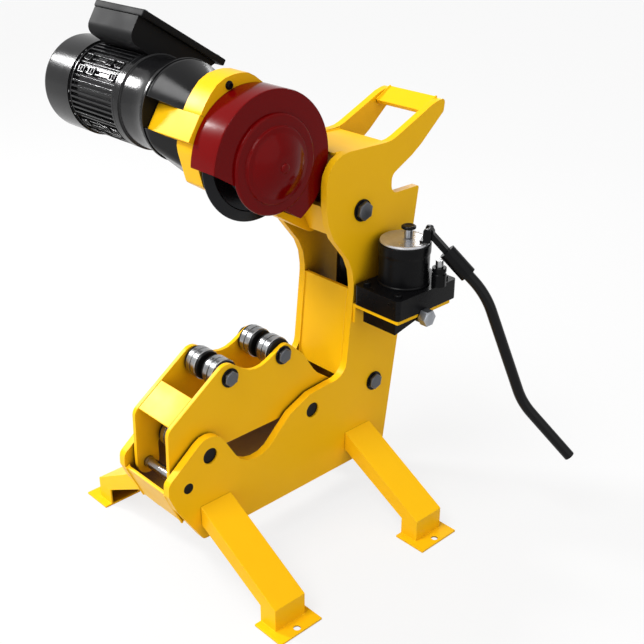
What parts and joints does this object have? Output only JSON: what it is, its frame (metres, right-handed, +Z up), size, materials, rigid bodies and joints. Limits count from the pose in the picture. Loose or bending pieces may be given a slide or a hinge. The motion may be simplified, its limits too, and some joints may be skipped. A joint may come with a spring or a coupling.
{
  "type": "hydraulic pipe cutter",
  "caption": "Motor-driven pipe cutting machine: roller cradle and frame on splayed legs, tilting head with guarded cutting wheel, and hand-pumped lift cylinder.",
  "frame": {"origin": "middle of the whole object's footprint box, on the floor", "axes": "+X along the pipe axis, away from the motor; +Y from the pipe side to the handle side; +Z up"},
  "size_m": [0.8264, 0.6516, 0.9045],
  "materials": {
    "yellow_paint": "gloss paint",
    "red_paint": "gloss paint",
    "black_alloy": "gloss black paint on cast alloy",
    "black_plastic": "moulded",
    "black_paint": "satin black paint",
    "grey_cap": "brushed",
    "bright_steel": "turned bright",
    "dark_steel": "ground, dark",
    "zinc_steel": "zinc plated"
  },
  "bodies": {
    "frame": {"pump_barrel": "black_paint", "lever_bracket": "black_paint", "pump_bracket": "yellow_paint", "pump_casting": "black_paint", "pressure_pipe": "zinc_steel", "reservoir": "black_paint", "reservoir_cap": "grey_cap", "filler_plug": "black_paint", "side_plate_right": "yellow_paint", "side_plate_left": "yellow_paint", "column_front_plate": "yellow_paint", "front_base_plate": "yellow_paint", "rear_base_plate": "yellow_paint", "top_cover_plate": "yellow_paint", "handle_grip": "yellow_paint", "leg_front_right": "yellow_paint", "leg_rear_right": "yellow_paint", "leg_front_left": "yellow_paint", "leg_rear_left": "yellow_paint", "frame_pin_front": "black_paint", "frame_pin_rear": "black_paint", "pivot_bolt": "zinc_steel", "cylinder_bolt": "zinc_steel", "cradle_rod": "bright_steel", "cradle_plate_right": "yellow_paint", "cradle_plate_left": "yellow_paint", "cradle_cross_plate": "yellow_paint", "cradle_pin_front": "dark_steel", "cradle_pin_rear": "dark_steel", "lift_cylinder": "black_paint"},
    "head": {"head_arm": "yellow_paint", "stop_block": "yellow_paint", "cutter_guard": "red_paint", "guard_hub": "red_paint", "gear_housing": "black_alloy", "motor_flange": "black_alloy", "motor_frame": "black_alloy", "fan_cover": "black_alloy", "terminal_box": "black_alloy", "terminal_lid": "black_alloy", "cable_gland": "black_plastic"},
    "tail_roller": {"tail_roller": "bright_steel"},
    "cutter": {"spindle": "bright_steel", "cutting_wheel": "dark_steel", "spindle_gear": "dark_steel"},
    "motor_rotor": {"motor_rotor": "dark_steel", "cooling_fan": "black_alloy"},
    "lift_ram": {"lift_ram": "bright_steel"},
    "pump_lever": {"lever_socket": "black_paint", "lever_tube": "black_paint"},
    "pump_plunger": {"pump_plunger": "bright_steel"},
    "release_valve": {"release_valve": "zinc_steel"},
    "frame_roller_front_right": {"frame_roller_front_right": "bright_steel"},
    "frame_roller_front_left": {"frame_roller_front_left": "bright_steel"},
    "frame_roller_rear_right": {"frame_roller_rear_right": "bright_steel"},
    "frame_roller_rear_left": {"frame_roller_rear_left": "bright_steel"},
    "cradle_roller_front_right": {"cradle_roller_front_right": "bright_steel"},
    "cradle_roller_front_left": {"cradle_roller_front_left": "bright_steel"},
    "cradle_roller_rear_right": {"cradle_roller_rear_right": "bright_steel"},
    "cradle_roller_rear_left": {"cradle_roller_rear_left": "bright_steel"}
  },
  "joints": [
    {"name": "head_tilt", "type": "hinge", "parent": "frame", "child": "head", "pos_m": [0.00898, 0.10414, 0.57801], "axis": [1, 0, 0], "range_deg": [0, 52]},
    {"name": "ram_slide", "type": "slide", "parent": "frame", "child": "lift_ram", "axis": [0, 0.0371, 0.9993], "range_m": [0, 0.051]},
    {"name": "tail_roller_spin", "type": "hinge", "parent": "head", "child": "tail_roller", "pos_m": [0.00898, 0.15474, 0.54578], "axis": [1, 0, 0], "continuous": true},
    {"name": "cutter_spin", "type": "hinge", "parent": "head", "child": "cutter", "pos_m": [0.00898, -0.07179, 0.6901], "axis": [1, 0, 0], "continuous": true},
    {"name": "rotor_spin", "type": "hinge", "parent": "head", "child": "motor_rotor", "pos_m": [0.00898, -0.11433, 0.75099], "axis": [1, 0, 0], "continuous": true},
    {"name": "frame_roller_front_right_spin", "type": "hinge", "parent": "frame", "child": "frame_roller_front_right", "pos_m": [0.00898, -0.23986, 0.23798], "axis": [1, 0, 0], "continuous": true},
    {"name": "frame_roller_front_left_spin", "type": "hinge", "parent": "frame", "child": "frame_roller_front_left", "pos_m": [0.00898, -0.23986, 0.23798], "axis": [1, 0, 0], "continuous": true},
    {"name": "frame_roller_rear_right_spin", "type": "hinge", "parent": "frame", "child": "frame_roller_rear_right", "pos_m": [0.00898, -0.01186, 0.23199], "axis": [1, 0, 0], "continuous": true},
    {"name": "frame_roller_rear_left_spin", "type": "hinge", "parent": "frame", "child": "frame_roller_rear_left", "pos_m": [0.00898, -0.01186, 0.23199], "axis": [1, 0, 0], "continuous": true},
    {"name": "cradle_roller_front_right_spin", "type": "hinge", "parent": "frame", "child": "cradle_roller_front_right", "pos_m": [0.00898, -0.17836, 0.35298], "axis": [1, 0, 0], "continuous": true},
    {"name": "cradle_roller_front_left_spin", "type": "hinge", "parent": "frame", "child": "cradle_roller_front_left", "pos_m": [0.00898, -0.17836, 0.35298], "axis": [1, 0, 0], "continuous": true},
    {"name": "cradle_roller_rear_right_spin", "type": "hinge", "parent": "frame", "child": "cradle_roller_rear_right", "pos_m": [0.00898, -0.06196, 0.35298], "axis": [1, 0, 0], "continuous": true},
    {"name": "cradle_roller_rear_left_spin", "type": "hinge", "parent": "frame", "child": "cradle_roller_rear_left", "pos_m": [0.00898, -0.06196, 0.35298], "axis": [1, 0, 0], "continuous": true},
    {"name": "lever_pump", "type": "hinge", "parent": "frame", "child": "pump_lever", "pos_m": [0.16736, 0.17914, 0.543], "axis": [0.5, -0.866, 0], "range_deg": [0, 45]},
    {"name": "plunger_slide", "type": "slide", "parent": "frame", "child": "pump_plunger", "axis": [0, 0, 1], "range_m": [0, 0.0175]},
    {"name": "valve_turn", "type": "hinge", "parent": "frame", "child": "release_valve", "pos_m": [0.18898, 0.14914, 0.402], "axis": [1, 0, 0], "range_deg": [0, 270]}
  ],
  "couplings": [
    {"joint": "ram_slide", "follows": "head_tilt", "m_per_rad": 0.056},
    {"joint": "rotor_spin", "follows": "cutter_spin", "ratio": -3.5},
    {"joint": "plunger_slide", "follows": "lever_pump", "m_per_rad": 0.022}
  ]
}
